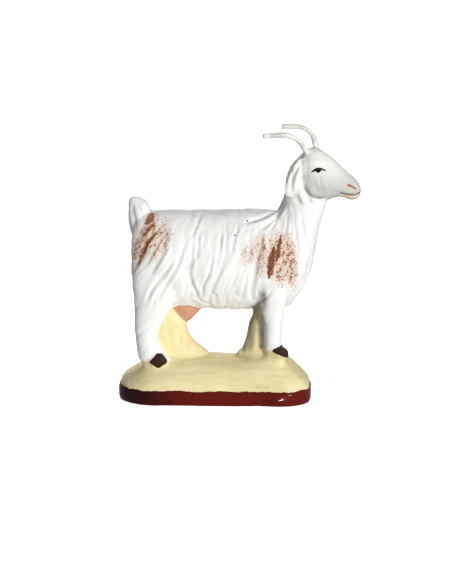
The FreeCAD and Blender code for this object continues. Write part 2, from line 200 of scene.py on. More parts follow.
# %% Gather the clay
GRAIN = 0.25 * MM
HORNS = ("right_horn", "left_horn")
CLAY = sorted(name for name in nodes if name not in HORNS)
HORN_ROOTS = {"right_horn": (0.860, 0.336), "left_horn": (0.892, 0.318)}


def horn_root(name):
    """Where a horn's wire leaves the head, from shares of the horn's own box."""
    low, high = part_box(name)
    share_x, share_z = HORN_ROOTS[name]
    lowest = min(nodes[name].data.vertices, key=lambda point: point.co.z)
    x = low.x + share_x * (high.x - low.x)
    z = low.z + share_z * (high.z - low.z)
    return Vector((x, lowest.co.y, z))


def plain_object(name, mesh):
    """An object with this mesh, in the scene."""
    thing = bpy.data.objects.new(name, mesh)
    bpy.context.scene.collection.objects.link(thing)
    return thing


def remeshed(name, mesh, grain):
    """The mesh under one even skin of squares about as wide as the grain."""
    thing = plain_object(name, mesh)
    skin = thing.modifiers.new("skin", "REMESH")
    skin.mode = "VOXEL"
    skin.voxel_size = grain
    bpy.context.view_layer.update()
    done = thing.evaluated_get(bpy.context.evaluated_depsgraph_get())
    result = bpy.data.meshes.new_from_object(done)
    bpy.data.objects.remove(thing)
    return result


print("clay nodes:", len(CLAY), "wire nodes:", len(HORNS))

# %% [markdown]
# ## Clay where the solids leave gaps
# On the real goat the clay closes round each wire, and runs without a gap from each leg into the
# ground beside it. Balls fill the horns' sockets and stand up round the wires as a small collar,
# and tall eggs fill the slits beside the webs of ground. They needn't be neat: the remesh melts
# them into the rest.

# %% Fill the sockets and the slits
PLUG_BALLS = ((0.35, 0.80), (0.0, 0.95), (-1.5, 0.95))
SLIT_EGGS = {"hind": ((1.7, 2.5, 7.6), 6.6), "fore": ((1.7, 2.5, 5.8), 5.0)}
EGG_BACK = 0.3
EGG_TO_WEB = 0.58


def plug_sockets(lump):
    """Balls of clay, each by its height over the horn's root and its radius, in millimetres."""
    for name in HORNS:
        for lift, radius in PLUG_BALLS:
            made = bmesh.ops.create_icosphere(lump, subdivisions=2, radius=radius * MM)
            place = horn_root(name) + Vector((0, 0, lift * MM))
            bmesh.ops.translate(lump, verts=made["verts"], vec=place)


def fill_slits(lump):
    """An egg of clay between each leg and its web, by half-sizes and height over the hoof."""
    for side in ("right", "left"):
        for end, (half_sizes, lift) in SLIT_EGGS.items():
            hoof_low, hoof_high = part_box(f"{side}_{end}_hoof")
            web_low, web_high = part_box(f"{end}_web")
            inner = hoof_high.y if side == "right" else hoof_low.y
            beside = web_low.y if side == "right" else web_high.y
            x = hoof_low.x - EGG_BACK * MM
            y = (1 - EGG_TO_WEB) * inner + EGG_TO_WEB * beside
            made = bmesh.ops.create_icosphere(lump, subdivisions=3, radius=1)
            bmesh.ops.scale(lump, verts=made["verts"], vec=Vector(half_sizes) * MM)
            place = Vector((x, y, hoof_low.z + lift * MM))
            bmesh.ops.translate(lump, verts=made["verts"], vec=place)


print("balls:", len(HORNS) * len(PLUG_BALLS), "eggs:", 2 * len(SLIT_EGGS))

# %% [markdown]
# ## One even skin
# Now the solids and the fillings go into one mesh, and the remesh turns them into one lump.

# %% Remesh the clay
def lump_together():
    """All the clay solids in one mesh, with the sockets and the slits filled."""
    lump = bmesh.new()
    for name in CLAY:
        lump.from_mesh(nodes[name].data)
    plug_sockets(lump)
    fill_slits(lump)
    mesh = bpy.data.meshes.new("lump")
    lump.to_mesh(mesh)
    lump.free()
    return mesh


clay_mesh = remeshed("clay", lump_together(), GRAIN)
print("clay skin:", len(clay_mesh.vertices), "points")

# %% [markdown]
# ## Modelling tools
# The tools work on every point of the skin at once, so they are written with arrays. A tool
# only says how far each point moves along its own normal. `Clay` keeps the points, finds the
# normals, and smooths.

# %% The clay and its smoothing
class Clay:
    """The points and squares of the lump, with smoothing and moves along the normals."""

    def __init__(self, mesh):
        self.points = np.empty((len(mesh.vertices), 3))
        mesh.vertices.foreach_get("co", self.points.ravel())
        self.edges = np.empty((len(mesh.edges), 2), int)
        mesh.edges.foreach_get("vertices", self.edges.ravel())
        self.squares = np.empty((len(mesh.polygons), 4), int)
        mesh.polygons.foreach_get("vertices", self.squares.ravel())
        ends = self.edges.ravel()
        self.degree = np.bincount(ends, minlength=len(self.points)).astype(float)

    def average(self, values):
        """The mean over each point's neighbours of a value or of a vector."""
        a, b = self.edges.T
        columns = values.reshape(len(values), -1).T
        sums = [
            np.bincount(a, column[b], len(values)) + np.bincount(b, column[a], len(values))
            for column in columns
        ]
        return (np.array(sums) / self.degree).T.reshape(values.shape)

    def spread(self, values, rounds):
        """Blurs a value over the skin."""
        for _ in range(rounds):
            values = 0.5 * values + 0.5 * self.average(values)
        return values

    def smooth(self, rounds, share=1.0):
        """Relaxes the points. The share, one number or one for each point, limits where."""
        weight = np.broadcast_to(share, len(self.points))[:, None] * 0.5
        for _ in range(rounds):
            self.points += weight * (self.average(self.points) - self.points)

    def softened(self, rounds):
        """Where the points would be after smoothing. The clay itself doesn't move."""
        points = self.points
        for _ in range(rounds):
            points = points + 0.5 * (self.average(points) - points)
        return points

    def normals(self):
        """The way out of the clay at each point, from the slant of the squares around it."""
        a, b, c, d = (self.points[self.squares[:, k]] for k in range(4))
        across = np.cross(c - a, d - b)
        total = np.zeros_like(self.points)
        for corner in range(4):
            for axis in range(3):
                total[:, axis] += np.bincount(
                    self.squares[:, corner], across[:, axis], len(self.points)
                )
        return total / np.maximum(np.linalg.norm(total, axis=1), 1e-30)[:, None]

    def push(self, heights):
        """Moves every point along its normal."""
        self.points += self.normals() * heights[:, None]


clay = Clay(clay_mesh)
print("squares:", len(clay.squares))

# %% [markdown]
# ## Which piece is each point on?
# The cut back into pieces, and the edges of the paint, follow the frame: each point belongs to
# the CAD node whose surface is nearest. One tree of all the nodes' triangles finds it quickly.

# %% Nearest node of each point
def nearest_nodes(points):
    """For each point, the number of the node that is nearest."""
    corners, triangles, owners = [], [], []
    for number, name in enumerate(CLAY):
        mesh = nodes[name].data
        mesh.calc_loop_triangles()
        first = len(corners)
        corners.extend(v.co.copy() for v in mesh.vertices)
        triangles.extend([first + v for v in t.vertices] for t in mesh.loop_triangles)
        owners.extend([number] * len(mesh.loop_triangles))
    tree = BVHTree.FromPolygons(corners, triangles)
    return np.array([owners[tree.find_nearest(p)[2]] for p in points.tolist()])


owner = nearest_nodes(clay.points)


def share_of(*names, rounds=6):
    """A value that runs smoothly from 0 to 1 across the border of some nodes."""
    wanted = [CLAY.index(name) for name in names]
    return clay.spread(np.isin(owner, wanted).astype(float), rounds)


print("points by node:", {name: int((owner == k).sum()) for k, name in enumerate(CLAY)})

# %% [markdown]
# ## Blending the joints
# A thumb drawn along a joint leaves a soft fillet. Smoothing does the same, and a mask keeps it
# to the joints, because it would melt the ears and the tail.

# %% Blend the joints
def border(rounds):
    """Near 1 where one node meets another, and 0 away from there."""
    a, b = clay.edges.T
    meeting = (owner[a] != owner[b]).astype(float)
    touched = np.bincount(a, meeting, len(owner)) + np.bincount(b, meeting, len(owner))
    return np.clip(clay.spread((touched > 0).astype(float), rounds) * 3, 0, 1)


HOOVES = ("right_hind_hoof", "left_hind_hoof", "right_fore_hoof", "left_fore_hoof")
is_base = share_of("base_slab", rounds=3)
near_hoof = np.clip(share_of(*HOOVES, rounds=6) * 3, 0, 1)
clay.smooth(3, 1 - 0.7 * is_base)
clay.smooth(26, border(8) * (1 - is_base) * (1 - 0.9 * near_hoof))
clay.smooth(4, (1 - is_base) * (1 - near_hoof))
print("size after blending:", np.ptp(clay.points, axis=0) / MM)

# %% [markdown]
# ## Drawing on the clay from the side
# A modeller works on a goat in profile, so the tools below take places seen from the side, as
# shares of the box of a CAD node, and press on the skin that faces that side. The left side gets
# the same strokes shifted a little, because no hand repeats itself.

# %% Side view of the clay
rng = np.random.default_rng(11)


def in_box(name, shares):
    """Side-view places, given as shares of a node's box, in metres."""
    low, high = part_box(name)
    return np.array([
        (low.x + u * (high.x - low.x), low.z + w * (high.z - low.z)) for u, w in shares
    ])


def facing(side, edge=0.15):
    """1 on the skin that faces a side (-1 right, 1 left), and 0 where it turns away."""
    return np.clip((clay.normals()[:, 1] * side - edge) * 2.5, 0, 1)


def rounded_line(places, steps=6):
    """A smooth curve through a few places."""
    padded = np.vstack([2 * places[0] - places[1], places, 2 * places[-1] - places[-2]])
    curve = []
    for a, b, c, d in zip(padded, padded[1:], padded[2:], padded[3:]):
        for t in np.arange(steps) / steps:
            bend = (2 * a - 5 * b + 4 * c - d) * t * t + (3 * b - a - 3 * c + d) * t ** 3
            curve.append(0.5 * (2 * b + (c - a) * t + bend))
    return np.vstack([curve, places[-1]])


def measured(places, line):
    """Signed distance to a line for each place, and how far along it that is, from 0 to 1."""
    best = np.full(len(places), np.inf)
    signed = np.full(len(places), np.inf)
    along = np.zeros(len(places))
    for number, (a, b) in enumerate(zip(line, line[1:])):
        step = b - a
        t = np.clip((places - a) @ step / (step @ step), 0, 1)
        gap = places - a - t[:, None] * step
        length = np.hypot(*gap.T)
        closer = length < best
        best[closer] = length[closer]
        turned = np.sign(step[0] * gap[:, 1] - step[1] * gap[:, 0])
        signed[closer] = (length * np.where(turned == 0, 1, turned))[closer]
        along[closer] = ((number + t) / (len(line) - 1))[closer]
    return signed, along


print("middle of the torso from the side:", np.round(in_box("torso", [(0.5, 0.5)])[0] / MM, 1))

# %% [markdown]
# ## Strokes
# A wooden tool drawn over soft clay leaves a groove and pushes a small bank up along one edge.
# The groove and the bank are bell curves, which have no edges that need smoothing. Sculpt
# brushes could draw the same by hand, but a script makes the same goat every time.

# %% Stroke
def stroke(name, shares, width, depth, ridge=0.6, edge=0.15, sides=(-1, 1)):
    """Presses a tapered groove, with the clay it pushes up standing along one edge of it."""
    for side in sides:
        jitter = rng.normal(0, 0.3 * MM, (len(shares), 2)) if side > 0 else 0
        line = rounded_line(in_box(name, shares) + jitter)
        reach = 4 * width
        seen = clay.points[:, (0, 2)]
        near = np.all((seen > line.min(0) - reach) & (seen < line.max(0) + reach), axis=1)
        signed, along = measured(seen[near], line)
        taper = np.clip(np.minimum(along, 1 - along) * 5, 0.12, 1)
        groove = -np.exp(-((signed / width) ** 2))
        bank = ridge * np.exp(-(((signed - 1.7 * width) / (1.3 * width)) ** 2))
        heights = np.zeros(len(seen))
        heights[near] = depth * taper * (groove + bank)
        clay.push(heights * facing(side, edge))


# %% [markdown]
# ## Pads and the outline
# A pad is a pinch of clay pressed on and blended out, or a dent left by a thumb. Pads on both
# sides leave the edge between them alone, so a second tool works all round and changes the
# outline that the goat shows from the side.

# %% Pads and outline
def soft_spot(name, centre, spread):
    """1 at a place on the side of a piece, falling to 0 around it. The spread is in millimetres."""
    place = in_box(name, [centre])[0]
    away = (clay.points[:, (0, 2)] - place) / (np.array(spread) * MM)
    return np.exp(-(away ** 2).sum(axis=1))


def pad(name, centre, spread, height, sides=(-1, 1)):
    """Adds a soft pad of clay to each side, or presses a dent when the height is negative."""
    soft = soft_spot(name, centre, spread)
    for side in sides:
        clay.push(soft * height * MM * facing(side, edge=0.0))


def shape_outline(name, centre, spread, height):
    """Builds the clay up, or pares it down, on both sides and on the edge between them."""
    clay.push(soft_spot(name, centre, spread) * height * MM)


# %% [markdown]
# ## Body: muscles
# The big forms come first: haunch, flank, shoulder, and the hollows between them. Each row is a
# place as a share of the torso's box, a spread and a height in millimetres. The outline rows
# fill the breast and the belly, and pare the back down so that it sags between hip and neck.

# %% Haunch, flank and shoulder
PADS = (
    ((0.17, 0.34), (5.0, 6.5), 0.55),
    ((0.10, 0.70), (3.0, 2.6), 0.35),
    ((0.31, 0.25), (1.7, 5.5), -0.55),
    ((0.48, 0.25), (5.5, 5.0), 0.35),
    ((0.44, 0.62), (7.0, 2.6), -0.20),
    ((0.64, 0.24), (1.4, 5.0), -0.45),
    ((0.75, 0.42), (4.0, 6.5), 0.50),
    ((0.76, 0.13), (2.4, 3.0), 0.35),
    ((0.90, 0.62), (1.6, 6.0), 0.30),
    ((0.83, 0.86), (1.4, 2.4), -0.30),
    ((0.675, 0.09), (0.9, 1.7), -0.70),
)
OUTLINE = (
    ((0.935, 0.34), (2.6, 4.6), 0.65),
    ((0.60, 0.0), (4.5, 1.1), 0.40),
    ((0.33, 0.97), (5.5, 1.4), -0.60),
    ((0.58, 0.98), (4.5, 1.4), -0.65),
)
for centre, spread, height in PADS:
    pad("torso", centre, spread, height)
for centre, spread, height in OUTLINE:
    shape_outline("torso", centre, spread, height)
print("pads on the body:", len(PADS) + len(OUTLINE))

# %% [markdown]
# ## Body: folds drawn on the coat
# The long coat hangs in folds. They slant back over the haunch, hang over the flank and fan out
# from the back of the neck. Those that give the goat its look are drawn one by one, each with a
# few places along it, and the deep ones come first.

# %% Folds drawn on the coat
DEEP_FOLDS = (
    ((0.29, 0.56), (0.255, 0.41), (0.21, 0.28), (0.16, 0.16), (0.13, 0.08)),
    ((0.325, 0.53), (0.312, 0.38), (0.307, 0.27), (0.331, 0.17), (0.352, 0.09)),
    ((0.685, 0.66), (0.665, 0.50), (0.645, 0.36), (0.63, 0.22), (0.62, 0.13), (0.635, 0.05)),
    ((0.24, 0.44), (0.175, 0.30), (0.11, 0.18), (0.08, 0.08)),
    ((0.43, 0.45), (0.404, 0.31), (0.372, 0.215), (0.36, 0.09)),
    ((0.85, 0.14), (0.895, 0.24), (0.92, 0.35)),
    ((0.79, 0.80), (0.73, 0.73), (0.66, 0.69), (0.575, 0.66)),
)
SOFT_FOLDS = (
    ((0.285, 0.50), (0.295, 0.36), (0.29, 0.25), (0.27, 0.14)),
    ((0.355, 0.62), (0.345, 0.50), (0.34, 0.40)),
    ((0.37, 0.30), (0.35, 0.21), (0.345, 0.13)),
    ((0.495, 0.42), (0.448, 0.28), (0.42, 0.17), (0.40, 0.07)),
    ((0.47, 0.60), (0.45, 0.46), (0.44, 0.36)),
    ((0.56, 0.36), (0.53, 0.24), (0.50, 0.15), (0.48, 0.06)),
    ((0.43, 0.17), (0.435, 0.11), (0.44, 0.05)),
    ((0.60, 0.30), (0.585, 0.18), (0.56, 0.08)),
    ((0.56, 0.66), (0.53, 0.54), (0.52, 0.44)),
    ((0.73, 0.19), (0.70, 0.13), (0.67, 0.07)),
    ((0.82, 0.11), (0.86, 0.20), (0.895, 0.29)),
    ((0.785, 0.80), (0.75, 0.69), (0.71, 0.60)),
    ((0.80, 0.80), (0.80, 0.66), (0.79, 0.55)),
    ((0.83, 0.77), (0.84, 0.63), (0.855, 0.49), (0.85, 0.33)),
    ((0.865, 0.76), (0.885, 0.63), (0.90, 0.49), (0.90, 0.40)),
    ((0.775, 0.76), (0.72, 0.67), (0.655, 0.61)),
    ((0.815, 0.78), (0.82, 0.66), (0.825, 0.57)),
    ((0.36, 0.72), (0.335, 0.63), (0.315, 0.56)),
    ((0.13, 0.62), (0.08, 0.52), (0.05, 0.43)),
    ((0.17, 0.58), (0.12, 0.47), (0.08, 0.36)),
    ((0.20, 0.52), (0.15, 0.40), (0.10, 0.28)),
    ((0.17, 0.23), (0.13, 0.14), (0.11, 0.05)),
)
for line in DEEP_FOLDS:
    stroke("torso", line, 0.42 * MM, 0.46 * MM, ridge=0.5)
for line in SOFT_FOLDS:
    stroke("torso", line, 0.36 * MM, 0.26 * MM, ridge=0.5)
print("strokes on each side:", len(DEEP_FOLDS) + len(SOFT_FOLDS))

# %% [markdown]
# ## Head: cheek, brow and eye
# The head is smoother than the coat. A round cheek stands out from the neck, the jaw runs
# forward to the lips, and a brow shades a shallow socket with an eyeball in it. The corner where
# head, ear and neck meet is melted first by smoothing, so that the cheek becomes one round form.

# %% Cheek, brow and eye
HEAD_PADS = (
    ((0.37, 0.45), (3.6, 3.6), 0.45),
    ((0.38, 0.61), (1.9, 1.1), -0.30),
    ((0.37, 0.60), (0.9, 0.6), 0.34),
    ((0.33, 0.76), (2.2, 0.8), 0.26),
    ((0.64, 0.42), (2.0, 1.6), -0.22),
    ((0.90, 0.42), (1.2, 0.9), 0.16),
    ((0.72, 0.10), (2.2, 0.8), -0.14),
    ((0.46, 0.30), (1.0, 2.6), 0.16),
    ((0.56, 0.38), (0.8, 2.2), -0.12),
    ((0.27, 0.24), (1.7, 1.7), 0.50),
)
HEAD_OUTLINE = (
    ((0.08, 0.93), (2.2, 2.2), -0.50),
    ((0.40, 0.06), (2.8, 1.2), 0.50),
    ((0.86, 0.05), (1.8, 0.9), 0.25),
)
CHEEK_MIDDLE = (0.27, 0.25)
CHEEK_RADIUS = 2.3 * MM
from_cheek = clay.points[:, (0, 2)] - in_box("head", [CHEEK_MIDDLE])[0]
clay.smooth(30, np.exp(-(np.hypot(*from_cheek.T) / CHEEK_RADIUS) ** 2))
for centre, spread, height in HEAD_OUTLINE:
    shape_outline("head", centre, spread, height)
for centre, spread, height in HEAD_PADS:
    pad("head", centre, spread, height)
print("pads on the head:", len(HEAD_PADS) + len(HEAD_OUTLINE))

# %% [markdown]
# ## Head: drawn lines
# A groove sets the cheek off from the ear and the throat, and soft locks run down the cheek. The
# lid, the nostril and the mouth are cut with a fine tool. The painter follows the same lines
# later, so they are kept as named values.

# %% Jaw, lid, nostril and mouth
EAR_FRONT = ((0.11, 0.88), (0.125, 0.72), (0.14, 0.53), (0.15, 0.35))
CHEEK_EDGE = ((0.15, 0.35), (0.175, 0.22), (0.23, 0.13), (0.31, 0.08), (0.40, 0.05), (0.49, 0.07))
JAW = EAR_FRONT + CHEEK_EDGE[1:]
LID = ((0.262, 0.582), (0.305, 0.615), (0.35, 0.638), (0.41, 0.636), (0.475, 0.604))
NOSTRIL = ((0.806, 0.303), (0.86, 0.273), (0.918, 0.222))
MOUTH = ((0.69, 0.165), (0.73, 0.132), (0.806, 0.115), (0.90, 0.108), (0.96, 0.133), (1.0, 0.165))
stroke("head", EAR_FRONT, 0.45 * MM, 0.42 * MM, ridge=-0.4)
stroke("head", CHEEK_EDGE, 0.45 * MM, 0.50 * MM, ridge=0.6)
stroke("head", LID, 0.28 * MM, 0.14 * MM, ridge=1.2)
CHEEK_LOCKS = (
    ((0.29, 0.50), (0.31, 0.36), (0.36, 0.20)),
    ((0.38, 0.52), (0.40, 0.36), (0.47, 0.18)),
    ((0.48, 0.46), (0.50, 0.32), (0.55, 0.20)),
)
for line in CHEEK_LOCKS:
    stroke("head", line, 0.36 * MM, 0.09 * MM, ridge=0.8)
stroke("head", NOSTRIL, 0.30 * MM, 0.22 * MM, ridge=0.6, edge=-0.5)
stroke("head", MOUTH, 0.30 * MM, 0.24 * MM, ridge=0.7, edge=-0.6)
print("locks on each cheek:", len(CHEEK_LOCKS))

# %% [markdown]
# ## Ears and tail
# An ear is a flat lock of coat that hangs behind the cheek, wavy at its edges. The tail stands
# up and ends in a blunt tuft.

# %% Locks of hair on the ears, the tail and the throat
EAR_LOCKS = (
    ((0.80, 0.92), (0.55, 0.62), (0.38, 0.30), (0.30, 0.06)),
    ((0.66, 0.80), (0.40, 0.50), (0.22, 0.22)),
    ((0.92, 0.70), (0.80, 0.45), (0.66, 0.20)),
)
TAIL_LOCKS = (
    ((0.45, 0.85), (0.62, 0.60), (0.80, 0.35)),
    ((0.22, 0.80), (0.30, 0.50), (0.42, 0.20)),
)
THROAT_LOCKS = (
    ((0.865, 0.91), (0.85, 0.85), (0.875, 0.79)),
    ((0.905, 0.865), (0.925, 0.80)),
)
TAIL_OUTLINE = (
    ((0.66, 0.62), (1.6, 2.2), 0.75),
    ((0.40, 1.0), (2.4, 1.3), -0.50),
    ((0.0, 0.12), (1.4, 2.0), -0.35),
)
for line in EAR_LOCKS:
    stroke("right_ear", line, 0.35 * MM, 0.26 * MM)
for line in TAIL_LOCKS:
    stroke("tail", line, 0.45 * MM, 0.18 * MM)
for centre, spread, height in TAIL_OUTLINE:
    shape_outline("tail", centre, spread, height)
for line in THROAT_LOCKS:
    stroke("torso", line, 0.50 * MM, 0.40 * MM)
print("skin after drawing:", np.round(np.ptp(clay.points, axis=0) / MM, 2))

# %% [markdown]
# ## A random field
# Between the drawn folds the coat is covered with small ones that nobody would draw one by one.
# They come from a random field: a lattice of random numbers, with smooth values between them.
# Blender's displace modifier has such patterns too, but this one can be bent along the hair.

# %% Random field
LATTICE = np.random.default_rng(5).uniform(-1, 1, (32, 32, 32))
LATTICE_SIZE = len(LATTICE)
print("random numbers in the lattice:", LATTICE.size)


def field(places):
    """Smooth random values between -1 and 1, one for each place."""
    cell = np.floor(places).astype(int)
    inside = places - cell
    blend = inside * inside * (3 - 2 * inside)
    total = np.zeros(len(places))
    for corner in np.ndindex(2, 2, 2):
        weight = np.prod(np.where(corner, blend, 1 - blend), axis=1)
        total += weight * LATTICE[tuple(((cell + corner) % LATTICE_SIZE).T)]
    return total


def stepped(values, low, high):
    """0 below the low mark and 1 above the high one, with a soft step between."""
    t = np.clip((values - low) / (high - low), 0, 1)
    return t * t * (3 - 2 * t)


# %% [markdown]
# ## The lie of the hair
# Folds follow the hair. `across` counts millimetres across it: the hair slants over the haunch,
# hangs almost straight behind the shoulder, and fans out on the neck, where an angle round the
# nape counts instead.

# %% Lie of the hair
LEAN_AT = (0.05, 0.25, 0.45, 0.62, 0.72, 0.90)
LEAN = (0.80, 0.55, 0.36, 0.18, 0.02, 0.22)
NAPE = (0.79, 0.86)
FAN_RADIUS = 9.0
torso_low, torso_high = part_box("torso")
torso_size = torso_high - torso_low
x, y, z = clay.points.T
station = (x - torso_low.x) / torso_size.x
storey = (z - torso_low.z) / torso_size.z
lean = np.interp(station, LEAN_AT, LEAN)
across = (x - lean * (z - torso_low.z)) / MM
fan_x, fan_z = in_box("torso", [NAPE])[0]
fan = np.arctan2(x - fan_x, np.maximum(fan_z - z, 0.5 * MM)) * FAN_RADIUS
on_neck = stepped(storey, 0.55, 0.75) * stepped(station, 0.55, 0.68)
print("points on the neck:", int((on_neck > 0.5).sum()))

# %% [markdown]
# ## Fine folds all over the coat
# The field is stretched along the hair and bent into rounded folds with narrow grooves between
# them, once broad and once fine. The legs and the back are smoother, as if worn by the fingers
# that hold the goat there.

# %% Press the fine folds
LEGS = ("right_hind_leg", "left_hind_leg", "right_fore_leg", "left_fore_leg")
HAIRLESS = ("head", "ground_mound", "base_slab", "hind_web", "fore_web", "udder") + HOOVES
is_coat = 1 - share_of(*HAIRLESS)
is_leg = share_of(*LEGS, rounds=30)


def folds(wavelength, length, sharpness, middle):
    """Rounded folds with narrow grooves between them, along the lie of the hair."""
    def pattern(line):
        places = np.array([line / wavelength, y / MM / wavelength, z / MM / length]).T
        return 1 - np.exp(-((field(places) / sharpness) ** 2))
    flat = pattern(across + 0.7 * np.sin(z / MM * 0.5))
    fanned = pattern(fan)
    return flat * (1 - on_neck) + fanned * on_neck - middle


near_back = stepped(storey, 0.40, 0.75) * (1 - on_neck)
coat_weight = is_coat * (1 - 0.4 * is_leg) * (1 - 0.5 * near_back)
clay.push(coat_weight * folds(3.4, 22.0, 0.15, 0.75) * 0.22 * MM)
clay.push(coat_weight * folds(1.7, 13.0, 0.25, 0.65) * 0.14 * MM)
clay.smooth(1)
print("points with hair:", int((is_coat > 0.5).sum()))

# %% [markdown]
# ## Uneven ground
# The ground between the legs was left standing when the mould was cut, and wiped with a wet
# brush: down the webs, which left deep streaks on the fore one, and along the mound.

# %% Mound and webs
FORE_STREAKS, HIND_STREAKS = 0.24, 0.06
is_ground = share_of("ground_mound", "hind_web", "fore_web", rounds=10)
is_web = share_of("hind_web", "fore_web", rounds=8)
x, y, z = clay.points.T
uneven = field(clay.points / (7 * MM))
streaks = field(np.array([x / (0.9 * MM), y / (0.9 * MM), z / (6 * MM)]).T)
brush = field(np.array([x / (5 * MM), y / (1.1 * MM), z / (1.1 * MM)]).T)
clay.push(is_ground * (uneven * 0.30 + brush * (1 - is_web) * 0.05) * MM)
clay.push(is_web * streaks * np.where(x > 0, FORE_STREAKS, HIND_STREAKS) * MM)
print("points on the ground:", int((is_ground > 0.5).sum()))

# %% [markdown]
# ## Base and its seam
# The edge of the base wavers because it was trimmed by hand, and a shallow seam runs where the
# mound sits on it. The mound is pared down a little between the webs.

# %% Wavering edge, seam and crest
SEAM_DEPTH = 0.14 * MM
SEAM_WIDTH = 0.35 * MM
CREST_AT = 0.57
CREST_CUT = 0.75 * MM
CREST_SPREAD = np.array([6.5 * MM, 2.6 * MM])
clay.push(is_base * field(clay.points / (5 * MM)) * 0.16 * MM)
hand_made = field(clay.points / (3.1 * MM) + 7)
clay.push((1 - is_base) * hand_made * 0.06 * MM)
rim_top = base_high.z
clay.push(-SEAM_DEPTH * np.exp(-(((clay.points[:, 2] - rim_top) / SEAM_WIDTH) ** 2)))
crest_x = base_low.x + CREST_AT * (base_high.x - base_low.x)
crest = np.array([crest_x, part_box("ground_mound")[1].z])
away = (clay.points[:, (0, 2)] - crest) / CREST_SPREAD
clay.push(-CREST_CUT * is_ground * (1 - is_web) * np.exp(-(away ** 2).sum(axis=1)))
print("rim height:", round(rim_top / MM, 1), "mm")

# %% [markdown]
# ## Feet pressed into the ground
# The white of each leg ends at a line just over the mound, and below it the clay is ground. The
# leg's own ankle is pared away under that line and melted into the mound, so that the foot seems
# to stand in soft earth. A line is a share of the leg's height, and a slope ahead of the hoof's
# rear edge: it is level on the hind legs and falls forwards on the fore ones.

# %% Under the feet
FOOT_LINES = {"hind": (0.096, 0.0), "fore": (0.170, -0.41)}
LEG_REACH = 6 * MM
ANKLE_CUT = 0.7 * MM


def under_the_feet():
    """1 at each leg below the line where its white ends, and 0 above it."""
    x, y, z = clay.points.T
    found = np.zeros(len(x))
    for end, (line_height, slope) in FOOT_LINES.items():
        for side in ("right", "left"):
            low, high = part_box(f"{side}_{end}_leg")
            line = low.z + line_height * (high.z - low.z)
            line = line + slope * np.maximum(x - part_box(f"{side}_{end}_hoof")[0].x, 0)
            beside = np.abs(x - (low.x + high.x) / 2) < LEG_REACH
            inside = beside * ((y < 0) == (side == "right"))
            found = np.maximum(found, inside * stepped(line - z, -0.4 * MM, 0.4 * MM))
    return found


trodden = under_the_feet() * (1 - is_base) * (1 - near_hoof)
legs_only = share_of(*LEGS, rounds=4)
clay.push(-ANKLE_CUT * trodden * legs_only)
clay.smooth(70, trodden)
print("points under the feet:", int((trodden > 0.5).sum()))

# %% [markdown]
# ## Last touches of the thumb
# A dent at the foot of the fore web, a small swelling on the rim that catches the lamp, and the
# point of the near fore hoof worn down. Then the foot of the base is made flat, to stand on.

# %% Dent, swelling and flat foot
TABLE_REACH = 0.25 * MM
shape_outline("fore_web", (0.08, 0.10), (2.4, 1.7), -0.4)
pad("base_slab", (0.822, 0.40), (1.5, 0.85), 0.60, sides=(-1,))
for _ in range(2):
    shape_outline("right_fore_hoof", (0.92, 0.95), (0.9, 0.8), -0.45)
clay.points[clay.points[:, 2] < TABLE_REACH, 2] = 0
print("skin:", np.round(clay.points.min(0) / MM, 2), np.round(clay.points.max(0) / MM, 2))

# %% [markdown]
# ## What the paint needs to know
# The painter works by what they see and feel: the edge between coat and ground, the folds that
# catch a dry brush, the grooves where grey is painted as shade. All of that is worked out for every
# point and stored on the mesh as named values, so the materials can read them and two pieces that
# meet carry the same paint across the seam. The relief comes first: how far each point stands
# out from a smoothed copy of the clay.

# %% Relief
paint = {}
normals = clay.normals()
paint["relief"] = ((clay.points - clay.softened(24)) * normals).sum(axis=1) / MM
paint["across"] = across * (1 - on_neck) + fan * on_neck
# Painted shade: how much each point faces down, for grey under the cheek.
paint["under"] = stepped(-normals[:, 2], -0.45, 0.65)
print("relief:", round(float(np.ptp(paint["relief"])), 2), "mm from groove to ridge")

# %% [markdown]
# ## Where cream, hooves, udder and red rim end
# The cream runs up the feet to the line of the ground. Beside each fore leg it stops short,
# because the white was brushed on past the leg's rear edge.

# %% Edges of the colours
LEG_EDGE = 0.03
LEG_FOOT = 0.20
paint["cream"] = share_of("ground_mound", "hind_web", "fore_web", "base_slab", rounds=3)
paint["cream"] = np.maximum(paint["cream"], under_the_feet())
x, y, z = clay.points.T
for side in ("right", "left"):
    low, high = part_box(f"{side}_fore_leg")
    edge = low.x + LEG_EDGE * (high.x - low.x)
    foot = low.z + LEG_FOOT * (high.z - low.z)
    beside_leg = stepped(x, edge - 0.3 * MM, edge + 0.3 * MM)
    beside_leg *= stepped(edge + 2.5 * MM - x, 0, 0.6 * MM)
    beside_leg *= stepped(z, foot - 0.6 * MM, foot + 0.6 * MM)
    beside_leg *= (y < 0) == (side == "right")
    paint["cream"] *= 1 - beside_leg
paint["hoof"] = share_of(*HOOVES, rounds=2)
paint["hoof"] *= 1 - stepped(paint["cream"], 0.4, 0.6) * (station > 0.5)
paint["udder"] = share_of("udder", rounds=2)
paint["rim"] = 0.5 - (clay.points[:, 2] - rim_top) / (2 * MM)
print("points under cream:", int((paint["cream"] > 0.5).sum()))

# %% [markdown]
# ## Face
# The face has its own cooler white. Along the cheek it ends in the groove of the jaw line, and
# ahead of the line's end it covers all of the muzzle.

# %% Edge of the face
seen = clay.points[:, (0, 2)]
behind_jaw, _ = measured(seen, rounded_line(in_box("head", JAW)))
jaw_end = in_box("head", [JAW[-1]])[0, 0]
ahead = stepped(seen[:, 0] - jaw_end, -1.0 * MM, 1.0 * MM)
muzzle = np.clip(share_of("head", rounds=12) * 1.5, 0, 1)
cheek = stepped(behind_jaw, -0.35 * MM, 0.35 * MM)
paint["face"] = muzzle * ahead + cheek * (1 - ahead)
print("points on the face:", int((paint["face"] > 0.5).sum()))
